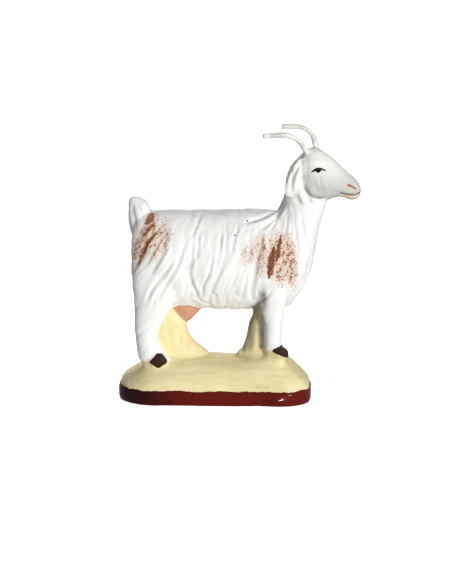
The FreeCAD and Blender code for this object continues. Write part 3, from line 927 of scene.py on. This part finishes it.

# %% [markdown]
# ## Painted shadows
# Grey is painted as shadow behind the near fore leg, down the fore web and under the
# cheek. Each painted shadow is a drawn line with a width in millimetres and a strength.

# %% Painted shadows
SHADOW_LINES = (
    ("torso", ((0.685, 0.15), (0.675, 0.08), (0.672, 0.02)), 0.9, 0.6),
    ("right_fore_leg", ((0.12, 0.78), (0.08, 0.60), (0.08, 0.42), (0.10, 0.20)), 1.0, 0.58),
    ("fore_web", ((0.42, 0.95), (0.36, 0.60), (0.28, 0.22)), 1.8, 0.66),
    ("torso", ((0.80, 0.84), (0.79, 0.79), (0.775, 0.75)), 1.4, 0.4),
)
FARTHEST = 6.0


def distance_to(name, shares):
    """Millimetres from a drawn line on the side of a piece, and how far along it that is."""
    signed, along = measured(seen, rounded_line(in_box(name, shares)))
    return np.minimum(np.abs(signed) / MM, FARTHEST), along


# Painted shadow beside the jaw groove: wide on the face side, narrow on the ear side.
beside_jaw = np.where(behind_jaw > 0, behind_jaw / 1.7, -behind_jaw / 0.3) / MM
paint["shadow"] = 0.40 * np.exp(-(beside_jaw ** 2)) * (1 - ahead)
for piece_name, line, width, strength in SHADOW_LINES:
    near, _ = distance_to(piece_name, line)
    paint["shadow"] = np.maximum(paint["shadow"], strength * np.exp(-((near / width) ** 2)))
print("points under a wash:", int((paint["shadow"] > 0.2).sum()))

# %% [markdown]
# ## Eye, nostril and mouth
# A fine brush drew an eyelid that swells in its middle, a pupil under it, a nostril that thins
# out forwards, and a mouth with a pale lip below. Each value is a distance from the drawn line,
# less the brush's width, so the paint has a crisp edge where it passes 0.

# %% Lines of the fine brush
EYE = (0.366, 0.612)
PUPIL_RADIUS = 0.50
LIP_BELOW_MOUTH = 0.045
lid, lid_along = distance_to("head", LID)
eye_x, eye_z = in_box("head", [EYE])[0]
pupil = np.hypot((seen[:, 0] - eye_x) / 1.1, seen[:, 1] - eye_z) / MM
lid_width = 0.10 + 0.20 * np.sin(np.pi * np.clip(lid_along, 0.05, 1))
paint["eye"] = np.minimum(lid - lid_width, pupil - PUPIL_RADIUS)
nostril, nostril_along = distance_to("head", NOSTRIL)
paint["nostril"] = nostril - 0.34 + 0.16 * nostril_along
paint["mouth"], _ = distance_to("head", MOUTH)
lower_lip = [(u, w - LIP_BELOW_MOUTH) for u, w in MOUTH[1:]]
paint["lip"], _ = distance_to("head", lower_lip)
print("points in the eye:", int((paint["eye"] < 0).sum()))

# %% [markdown]
# ## Brown patches
# The brown was put on with an almost dry brush, dragged along the hair. Each patch is a soft
# oval: its middle as a share of the torso's box, half-sizes in millimetres, a lean in degrees
# and a strength. A few wetter strokes lie over the patches.

# %% Brown patches on the hip and the shoulder
PATCHES = (
    ((0.070, 0.53), (2.4, 7.8), 26, 0.94),
    ((0.145, 0.53), (3.2, 6.6), 24, 0.74),
    ((0.765, 0.41), (4.0, 8.0), -4, 0.95),
    ((0.82, 0.38), (2.1, 8.0), -4, 0.98),
    ((0.67, 0.44), (2.2, 6.4), 0, 0.74),
    ((0.61, 0.45), (2.4, 3.6), 25, 0.66),
)
STREAKS = (
    (((0.735, 0.50), (0.72, 0.38), (0.71, 0.27)), 0.58, 1.0),
    (((0.772, 0.58), (0.757, 0.48), (0.75, 0.40)), 0.32, 0.9),
    (((0.115, 0.72), (0.075, 0.65)), 0.75, 0.62),
    (((0.12, 0.66), (0.06, 0.56)), 0.25, 0.60),
    (((0.15, 0.62), (0.08, 0.50), (0.05, 0.42)), 0.28, 0.50),
    (((0.09, 0.52), (0.06, 0.42), (0.03, 0.31)), 0.28, 0.50),
)


def brown_patches():
    """How much brown a dry brush leaves at each point of the two sides."""
    brown = np.zeros(len(seen))
    for centre, spread, lean_degrees, strength in PATCHES:
        away = (seen - in_box("torso", [centre])[0]) / MM
        turn = math.radians(lean_degrees)
        over = away[:, 0] * math.cos(turn) - away[:, 1] * math.sin(turn)
        up = away[:, 0] * math.sin(turn) + away[:, 1] * math.cos(turn)
        reach = np.hypot(over / spread[0], up / spread[1])
        brown = np.maximum(brown, strength * (1 - stepped(reach, 0.35, 1.25)))
    return brown * stepped(np.abs(normals[:, 1]), 0.10, 0.45)


paint["brown"] = brown_patches()
paint["streak"] = np.zeros(len(seen))
for line, width, strength in STREAKS:
    near, along = distance_to("torso", line)
    taper = np.sin(np.pi * np.clip(along, 0.04, 0.96)) ** 0.6
    wet = strength * (1 - stepped(near / (width * taper), 0.4, 2.0))
    paint["streak"] = np.maximum(paint["streak"], wet)
paint["streak"] *= stepped(np.abs(normals[:, 1]), 0.10, 0.45)
print("points under brown:", int((paint["brown"] > 0.3).sum()))

# %% [markdown]
# ## Pits
# Two air bubbles burst in the clay of the right flank and left tiny dark pits. A pit is too
# small to model with this grain of clay, so it is a distance for the paint, and its dark inside
# is painted shade.

# %% Pits in the flank
PITS = ((0.597, 0.675), (0.535, 0.58))
# Distance to each pit, for the painted shade inside it.
paint["pit_shade"] = np.full(len(seen), FARTHEST)
for place in in_box("torso", PITS):
    paint["pit_shade"] = np.minimum(paint["pit_shade"], np.hypot(*(seen - place).T) / MM)
paint["pit_shade"] += FARTHEST * (normals[:, 1] > 0)
print("paint values:", sorted(paint))

# %% [markdown]
# ## Back into pieces
# The lump is cut back into one closed piece for each solid of the frame. Every square goes to
# the node that owns most of the skin around it, and each piece gets caps where it was cut. The
# normals of the whole skin are kept on the pieces, so that no seam shows in the light.

# %% Whose square is it?
belonging = np.zeros(len(clay.squares), int)
strongest = np.full(len(clay.squares), -1.0)
for number, name in enumerate(CLAY):
    square_share = share_of(name, rounds=4)[clay.squares].mean(axis=1)
    better = square_share > strongest
    belonging[better] = number
    strongest[better] = square_share[better]

print("squares of the torso:", int((belonging == CLAY.index("torso")).sum()))

# %% [markdown]
# ## Closing the cuts
# A piece cut from the skin is open like an eggshell. Each open edge is folded inwards, under the
# skin, and the hole that is left gets a flat cap, so that the piece is closed and no cap shows.

# %% Close the cuts
CAP_DEPTH = 0.6 * MM
NO_SKIN = -1


def smooth_everywhere(mesh):
    """Shades every face as part of a curved surface."""
    mesh.polygons.foreach_set("use_smooth", [True] * len(mesh.polygons))


def close_cuts(shape, skin):
    """Folds each open edge inwards, under the skin, and fills the hole that is left."""
    for point in list(shape.verts):
        open_edges = [edge for edge in point.link_edges if edge.is_boundary]
        if len(open_edges) > 2:
            bmesh.utils.vert_separate(point, open_edges)
    inner = {}
    open_edges = [edge for edge in shape.edges if edge.is_boundary]
    for edge in open_edges:
        for point in edge.verts:
            if point not in inner:
                inwards = Vector(normals[point[skin]]) * CAP_DEPTH
                inner[point] = shape.verts.new(point.co - inwards)
                inner[point][skin] = NO_SKIN
    for edge in open_edges:
        loop = edge.link_loops[0]
        here, there = loop.vert, loop.link_loop_next.vert
        shape.faces.new((there, here, inner[here], inner[there]))
    open_edges = [edge for edge in shape.edges if edge.is_boundary]
    caps = bmesh.ops.holes_fill(shape, edges=open_edges, sides=0)["faces"]
    bmesh.ops.triangulate(shape, faces=caps)
    return sum(not edge.is_manifold for edge in shape.edges)


# %% [markdown]
# ## Cutting out a piece
# Each piece takes its squares, its paint values and the normals of the whole skin with it. The
# points that were made for its caps have none of these, so Blender works their normals out.

# %% Slots and pieces
SLOTS = {name: "coat_white" for name in CLAY}
SLOTS["head"] = "face_white"
SLOTS["base_slab"] = "rim_red"
SLOTS["udder"] = "udder_pink"
SLOTS.update({name: "ground_cream" for name in ("ground_mound", "hind_web", "fore_web")})
SLOTS.update({name: "hoof_brown" for name in HOOVES})
SLOTS.update({name: "horn_white" for name in HORNS})


def cut_out(number, name):
    """One piece with its paint values, its caps, and the normals of the whole skin."""
    squares = clay.squares[belonging == number]
    kept, renumbered = np.unique(squares, return_inverse=True)
    mesh = bpy.data.meshes.new(f"{name}_clay")
    mesh.from_pydata(clay.points[kept].tolist(), [], renumbered.reshape(-1, 4).tolist())
    for label, values in paint.items():
        layer = mesh.attributes.new(label, "FLOAT", "POINT")
        layer.data.foreach_set("value", values[kept].astype(np.float32))
    shape = bmesh.new()
    shape.from_mesh(mesh)
    skin = shape.verts.layers.int.new("skin")
    for point, index in zip(shape.verts, kept.tolist()):
        point[skin] = index
    faults = close_cuts(shape, skin)
    shape.to_mesh(mesh)
    shape.free()
    skin_index = np.empty(len(mesh.vertices), np.int32)
    mesh.attributes["skin"].data.foreach_get("value", skin_index)
    mesh.attributes.remove(mesh.attributes["skin"])
    smooth_everywhere(mesh)
    own_normals = np.where(skin_index[:, None] >= 0, normals[skin_index], 0)
    mesh.normals_split_custom_set_from_vertices(own_normals.tolist())
    piece = plain_object(f"{name}_painted", mesh)
    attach(piece, "root")
    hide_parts(name)
    return piece, len(kept), faults


pieces = {}
for number, name in enumerate(CLAY):
    pieces[name], point_count, faults = cut_out(number, name)
    print(f"{name}: {point_count} points, edges that are not closed: {faults}")

# %% [markdown]
# ## Horns
# Each horn is a wire dipped in paint, so it is round, a little lumpy, and rounded at its tip. It
# starts as a copy of its CAD solid with a fine skin, and the same random field as before makes
# the paint uneven.

# %% Painted wires
HORN_GRAIN = 0.11 * MM
PAINT_THICKNESS = 0.11 * MM
for name in HORNS:
    wire = Clay(remeshed(name, nodes[name].data.copy(), HORN_GRAIN))
    wire.smooth(10)
    wire.push(field(wire.points / (2.1 * MM)) * 0.12 * MM + PAINT_THICKNESS)
    wire.push(field(wire.points / (0.8 * MM)) * 0.02 * MM)
    mesh = bpy.data.meshes.new(f"{name}_wire")
    mesh.from_pydata(wire.points.tolist(), [], wire.squares.tolist())
    smooth_everywhere(mesh)
    pieces[name] = plain_object(f"{name}_painted", mesh)
    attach(pieces[name], "root")
    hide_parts(name)
    print(name, "thickness with its paint:", round(np.ptp(wire.points[:, 1]) / MM, 2))

# %% [markdown]
# ## A short way to write paint
# A material is a graph of nodes. `Shade` wraps one output of a node, so that sums and products
# of values are written as ordinary maths, and `node` adds any other node in one line.

# %% Shade
class Shade:
    """A value, colour or vector in a material. Sums and products of values add Math nodes."""

    def __init__(self, tree, socket=None):
        self.tree = tree
        self.socket = socket

    def node(self, kind, settings=None, inputs=None, out=0):
        """Adds a node, sets it up, then gives its sockets their values or links."""
        made = self.tree.nodes.new(f"ShaderNode{kind}")
        for setting, value in (settings or {}).items():
            setattr(made, setting, value)
        for key, value in (inputs or {}).items():
            if isinstance(value, Shade):
                self.tree.links.new(value.socket, made.inputs[key])
            else:
                made.inputs[key].default_value = value
        return Shade(self.tree, made.outputs[out])

    def maths(self, operation, *terms):
        return self.node("Math", {"operation": operation}, dict(enumerate(terms)))

    def __add__(self, other):
        return self.maths("ADD", self, other)

    def __sub__(self, other):
        return self.maths("SUBTRACT", self, other)

    def __rsub__(self, other):
        return self.maths("SUBTRACT", other, self)

    def __mul__(self, other):
        return self.maths("MULTIPLY", self, other)

    __radd__ = __add__
    __rmul__ = __mul__

    def most(self, other):
        return self.maths("MAXIMUM", self, other)

    def step(self, low, high):
        """A soft step from 0 at the low mark to 1 at the high one. The marks may be swapped."""
        ends = {1: min(low, high), 2: max(low, high), 3: float(low > high), 4: float(low < high)}
        settings = {"interpolation_type": "SMOOTHSTEP"}
        return self.node("MapRange", settings, {0: self, **ends})

    def over(self, colour, mask):
        """This colour with another one painted over it where the mask is 1."""
        return self.node("Mix", {"data_type": "RGBA"}, {0: mask, 6: self, 7: colour}, out=2)


# %% [markdown]
# ## The painter's colours
# One white for the coat, a greyer one for the face, cream for the ground, a glossy dark red for
# the edge of the base, brown for the hooves and flesh pink for the udder.

# %% Colours
def srgb(red, green, blue):
    """A colour named by its screen values, as the shader wants it."""
    def linear(part):
        part /= 255
        return part / 12.92 if part <= 0.04045 else ((part + 0.055) / 1.055) ** 2.4
    return (linear(red), linear(green), linear(blue), 1.0)


COAT = srgb(250, 250, 248)
COAT_SHADE = srgb(196, 199, 190)
SHADOW_GREY = srgb(112, 108, 92)
FACE = srgb(250, 251, 245)
FACE_SHADE = srgb(211, 213, 208)
BROWN = srgb(172, 108, 58)
DARK_BROWN = srgb(100, 60, 36)
BLUSH = srgb(232, 214, 198)
CREAM = srgb(238, 226, 180)
CREAM_LIGHT = srgb(251, 242, 203)
CREAM_DIRT_AND_SHADE = srgb(202, 190, 142)
RIM = srgb(120, 35, 22)
RIM_DARK = srgb(52, 16, 14)
HOOF = srgb(78, 52, 42)
UDDER = srgb(220, 160, 130)
LIP = srgb(246, 222, 203)
MOUTH_BROWN = srgb(146, 112, 92)
INK = srgb(28, 26, 28)
HORN = srgb(238, 239, 233)
HORN_SHADE = srgb(216, 218, 212)
print("coat white in the shader:", [round(part, 2) for part in COAT])


# %% [markdown]
# ## Patterns in the paint
# A noise texture gives every uneven thing in hand-laid paint: specks, brush marks, a wavering
# edge. It is stretched by multiplying the place before the noise reads it.

# %% Stretch and speckle
def stretched(place, scale):
    """The place multiplied along each axis, to stretch a pattern."""
    return place.node("VectorMath", {"operation": "MULTIPLY"}, {0: place, 1: scale})


def speckle(place, scale, detail=3.0, roughness=0.6):
    """Noise around 0.5, with the scale in specks to a unit of the place."""
    return place.node("TexNoise", inputs={
        "Vector": place, "Scale": scale, "Detail": detail, "Roughness": roughness,
    })


# %% [markdown]
# ## What every layer of paint reads
# The layers share a few things: the place in millimetres, the values that were stored on the
# skin, and the random patterns. They are gathered once for each material.

# %% Shared values of the clay's paint
MOUND_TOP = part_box("hind_web")[0].z / MM


class PaintJob:
    """The stored values and patterns that the layers of paint share in one material."""

    def __init__(self, tree):
        self.start = Shade(tree)
        place = self.start.node("TexCoord", out=3)
        self.millimetres = stretched(place, (1 / MM, 1 / MM, 1 / MM))
        parts = self.start.node("SeparateXYZ", inputs={0: self.millimetres}).socket.node
        self.forward, depth, self.height = (Shade(tree, part) for part in parts.outputs)
        self.relief = self.stored("relief")
        self.fine = speckle(self.millimetres, 2.2)
        self.soft = speckle(self.millimetres, 0.35)
        hair = self.start.node("CombineXYZ", inputs={
            0: self.stored("across") * 2.4, 1: depth * 2.4, 2: self.height * 0.75,
        })
        self.bristles = speckle(hair, 1.0, 4.0, 0.7)
        flow = speckle(stretched(self.millimetres, (0.9, 0.9, 0.16)), 1.0, 4.0, 0.6)
        sweep = speckle(stretched(self.millimetres, (0.12, 0.9, 0.9)), 1.0, 4.0, 0.6)
        upper = self.height.step(MOUND_TOP, MOUND_TOP + 5)
        self.brushed = flow * upper + sweep * (1 - upper)
        # Painted shade: grey in the grooves of the clay, where shade falls.
        self.hollow_shade = (self.relief * -1 + (self.soft - 0.5) * 0.05).step(0.0, 0.30)

    def stored(self, label):
        """A value that was stored on the skin."""
        return self.start.node("Attribute", {"attribute_name": label}, out=2)

    def blend(self, share, one, other):
        """The first colour where the share is 0, and the other where it is 1."""
        return self.start.node("Mix", {"data_type": "RGBA"}, {0: share, 6: one, 7: other}, out=2)


# %% [markdown]
# ## Where each colour lies
# Each mask is 1 under its colour. A little noise is added before the step, because no hand
# paints a straight edge.

# %% Masks
def lay_masks(job):
    """Adds the masks of cream, hooves, red rim and eye to the job."""
    job.edge_wobble = (job.soft - 0.5) * 0.30 + (job.fine - 0.5) * 0.08
    job.cream = (job.stored("cream") + job.edge_wobble).step(0.47, 0.53)
    job.hoof = (job.stored("hoof") + job.edge_wobble * 0.8).step(0.36, 0.44)
    trimmed = (job.soft - 0.5) * 0.5 + (job.fine - 0.5) * 0.08
    job.rim = (job.stored("rim") + trimmed).step(0.49, 0.53)
    job.eye = job.stored("eye").step(0.05, -0.05)


# %% [markdown]
# ## Layers of paint
# The layers go on in the painter's order: white over everything with painted shade in the hollows,
# brown with a dry brush, the face with its painted shade, then ground, painted shadow, udder,
# hooves, the red rim, and at last eye and mouth with a fine brush. Every clay piece gets the same
# layers, so a brush stroke doesn't stop at a seam. The dry brush leaves a pale blush around,
# specks where the bristles touch, and a full dark brown only in the wetter strokes.

# %% White coat and dry-brushed brown
def white_coat(job):
    """White, with painted shade: a little grey in the hollows."""
    return job.blend(job.hollow_shade * 0.45, COAT, COAT_SHADE)


def dry_brushed_brown(job, colour):
    """Brown specks on a blush, denser and darker in the strokes."""
    brown = job.stored("brown")
    streak = job.stored("streak")
    crumbs = speckle(job.millimetres, 3.4, 2.0, 0.6)
    grain = (job.bristles - 0.5) * 1.9 + (crumbs - 0.5) * 1.3 + job.relief * 0.5
    drag = brown * 0.46 + streak * 0.75 + grain
    halo = brown.most(streak) * 1.3 + (job.bristles - 0.5) * 0.9 + (job.soft - 0.5) * 0.4
    colour = colour.over(BLUSH, halo.step(0.20, 1.10) * 0.75)
    dry = drag.step(0.44, 0.54) * brown.most(streak).step(0.10, 0.25)
    thick = (drag + (job.fine - 0.5) * 0.8).step(0.55, 1.25) * 0.9
    return colour.over(job.blend(thick, BROWN, DARK_BROWN), dry * 0.92)


# %% [markdown]
# ## White face, cream ground and painted shadow
# The face is a cooler white with painted shade that darkens it under the cheek and towards the
# chin. The cream shows the brush: marks run down the webs and along the mound, with some dirt, and
# painted shade in the grooves. The painted shadow goes over both.

# %% Face, ground and painted shadow
head_low, head_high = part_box("head")
# Painted shade: the face greys from the brow down to the chin.
BROW = (head_low.z + 0.88 * (head_high.z - head_low.z)) / MM
CHIN = (head_low.z + 0.166 * (head_high.z - head_low.z)) / MM


def face_white_with_shade(job, colour):
    """The face's own white with painted shade: darker in the hollows, underneath and towards the
    chin.
    """
    shade = job.hollow_shade.most(job.stored("under")).most(job.height.step(BROW, CHIN))
    return colour.over(job.blend(shade, FACE, FACE_SHADE), job.stored("face").step(0.20, 0.70))


def cream_ground(job, colour):
    """Cream with brush marks and some dirt, and painted shade in its grooves."""
    marks = (job.brushed - 0.5) * 2.2 + (job.soft - 0.5) * 0.8 + 0.35
    grime = (job.brushed * -1 + (job.fine - 0.5) * 0.5).step(-0.38, -0.24) * 0.35
    # Painted shade: the cream darkens in the grooves of the ground.
    groove_shade = job.relief.step(-0.04, -0.30) * 0.7
    tone = job.blend(marks, CREAM, CREAM_LIGHT).over(CREAM_DIRT_AND_SHADE, grime.most(groove_shade))
    return colour.over(tone, job.cream)


def painted_shadow(job, colour):
    """Painted shadow: thin grey where shade falls."""
    shadow = (job.stored("shadow") + (job.soft - 0.5) * 0.2).step(0.05, 1.05)
    return colour.over(SHADOW_GREY, shadow * 0.9)


# %% [markdown]
# ## Udder, hooves, red rim and the fine brush
# The rim's red is darker towards the tail, as painted shade, with a random mottle. The fine brush
# comes last: a pale lip, a warm nose, and thin lines. Ink fills the eye, and the two pits as their
# painted shade.

# %% Udder, hooves, rim, eye and mouth
def udder_hooves_and_rim(job, colour):
    """Flesh pink, brown and dark red."""
    udder = (job.stored("udder") + job.edge_wobble).step(0.30, 0.38)
    colour = colour.over(job.blend(job.soft * 0.5, UDDER, BLUSH), udder)
    colour = colour.over(HOOF, job.hoof)
    # Painted shade: the rim goes dark towards the tail, with a random mottle.
    redness = (job.soft * 0.6 + job.fine * 0.1 + job.forward * 0.08).step(-1.3, 0.1)
    return colour.over(job.blend(redness, RIM_DARK, RIM), job.rim)


def fine_brush(job, colour):
    """Lip, mouth, nostril, eye, and pits painted dark as shade."""
    on_face = job.stored("face").step(0.5, 0.8)
    wobble = job.fine - 0.5
    lip = (job.stored("lip") + wobble * 0.3).step(0.46, 0.22)
    mouth = (job.stored("mouth") + wobble * 0.16).step(0.24, 0.06)
    nostril = (job.stored("nostril") + wobble * 0.2).step(0.08, -0.04)
    warm_nose = job.stored("nostril").step(0.75, 0.1) * 0.5
    # Painted shade: ink in each pit stands in for its dark inside.
    pit_shade = job.stored("pit_shade").step(0.24, 0.14)
    colour = colour.over(LIP, lip.most(warm_nose) * 0.8 * on_face)
    colour = colour.over(MOUTH_BROWN, mouth * on_face)
    colour = colour.over(MOUTH_BROWN, nostril * 0.75 * on_face)
    return colour.over(INK, (job.eye * on_face).most(pit_shade))


# %% [markdown]
# ## The finished clay paint
# Chalky paint scatters light, so the coat is rough. The red rim is varnished: it gets a clear
# coat, and the hooves and the eye are a little shiny. A shallow bump adds the marks that the
# brush leaves in the paint, on top of the folds that are in the mesh.

# %% Materials for the clay
def painted_clay(name):
    """The hand-painted clay, with its layers in the painter's order."""
    paint_job = bpy.data.materials.new(name)
    paint_job.use_nodes = True
    tree = paint_job.node_tree
    surface = tree.nodes["Principled BSDF"]
    job = PaintJob(tree)
    lay_masks(job)
    colour = white_coat(job)
    for layer in (dry_brushed_brown, face_white_with_shade, cream_ground, painted_shadow,
                  udder_hooves_and_rim, fine_brush):
        colour = layer(job, colour)
    tree.links.new(colour.socket, surface.inputs["Base Color"])
    shine = job.rim * 0.36 + job.hoof * 0.22 + job.eye * 0.3
    roughness = 0.62 + (job.fine - 0.5) * 0.2 - shine
    tree.links.new(roughness.socket, surface.inputs["Roughness"])
    tree.links.new((job.rim * 0.32).socket, surface.inputs["Coat Weight"])
    surface.inputs["Coat Roughness"].default_value = 0.10
    surface.inputs["Specular IOR Level"].default_value = 0.2
    marks = job.bristles * (1 - job.cream) * 0.8 + job.brushed * job.cream * 0.6
    bump = job.start.node("Bump", inputs={
        "Strength": 0.5, "Distance": 0.12 * MM,
        "Height": (job.fine * 0.4 + marks) * (1 - job.rim * 0.7),
    })
    tree.links.new(bump.socket, surface.inputs["Normal"])
    return paint_job


paint_jobs = {}
for name in CLAY:
    slot = SLOTS[name]
    if slot not in paint_jobs:
        paint_jobs[slot] = painted_clay(slot)
    pieces[name].data.materials.append(paint_jobs[slot])
print("clay paints:", sorted(paint_jobs))

# %% [markdown]
# ## Paint on the horns
# The wire shows through the white a little, and its paint gathers in drops.

# %% Horn paint
def painted_wire(name):
    """White paint over wire, a little greyer in some places."""
    paint_job = bpy.data.materials.new(name)
    paint_job.use_nodes = True
    tree = paint_job.node_tree
    surface = tree.nodes["Principled BSDF"]
    start = Shade(tree)
    place = start.node("TexCoord", out=3)
    millimetres = stretched(place, (1 / MM, 1 / MM, 1 / MM))
    soft = speckle(millimetres, 0.35, 1.0)
    fine = speckle(millimetres, 2.0)
    colour = start.node("Mix", {"data_type": "RGBA"}, {
        0: (soft + (fine - 0.5) * 0.2).step(0.40, 0.66), 6: HORN, 7: HORN_SHADE,
    }, out=2)
    tree.links.new(colour.socket, surface.inputs["Base Color"])
    roughness = 0.42 + (fine - 0.5) * 0.2
    tree.links.new(roughness.socket, surface.inputs["Roughness"])
    bump = start.node("Bump", inputs={
        "Strength": 0.2, "Distance": 0.1 * MM, "Height": soft + fine * 0.15,
    })
    tree.links.new(bump.socket, surface.inputs["Normal"])
    return paint_job


horn_paint = painted_wire("horn_white")
for name in HORNS:
    pieces[name].data.materials.append(horn_paint)
print("horns painted:", len(HORNS))

# %% [markdown]
# ## Sizes and the end
# The size of the finished goat is written next to the size of its solids.

# %% Finish
low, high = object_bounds()
print("solids:", [round(v / MM, 1) for v in whole_high - whole_low], "mm")
print("finished:", [round(v / MM, 1) for v in high - low], "mm")
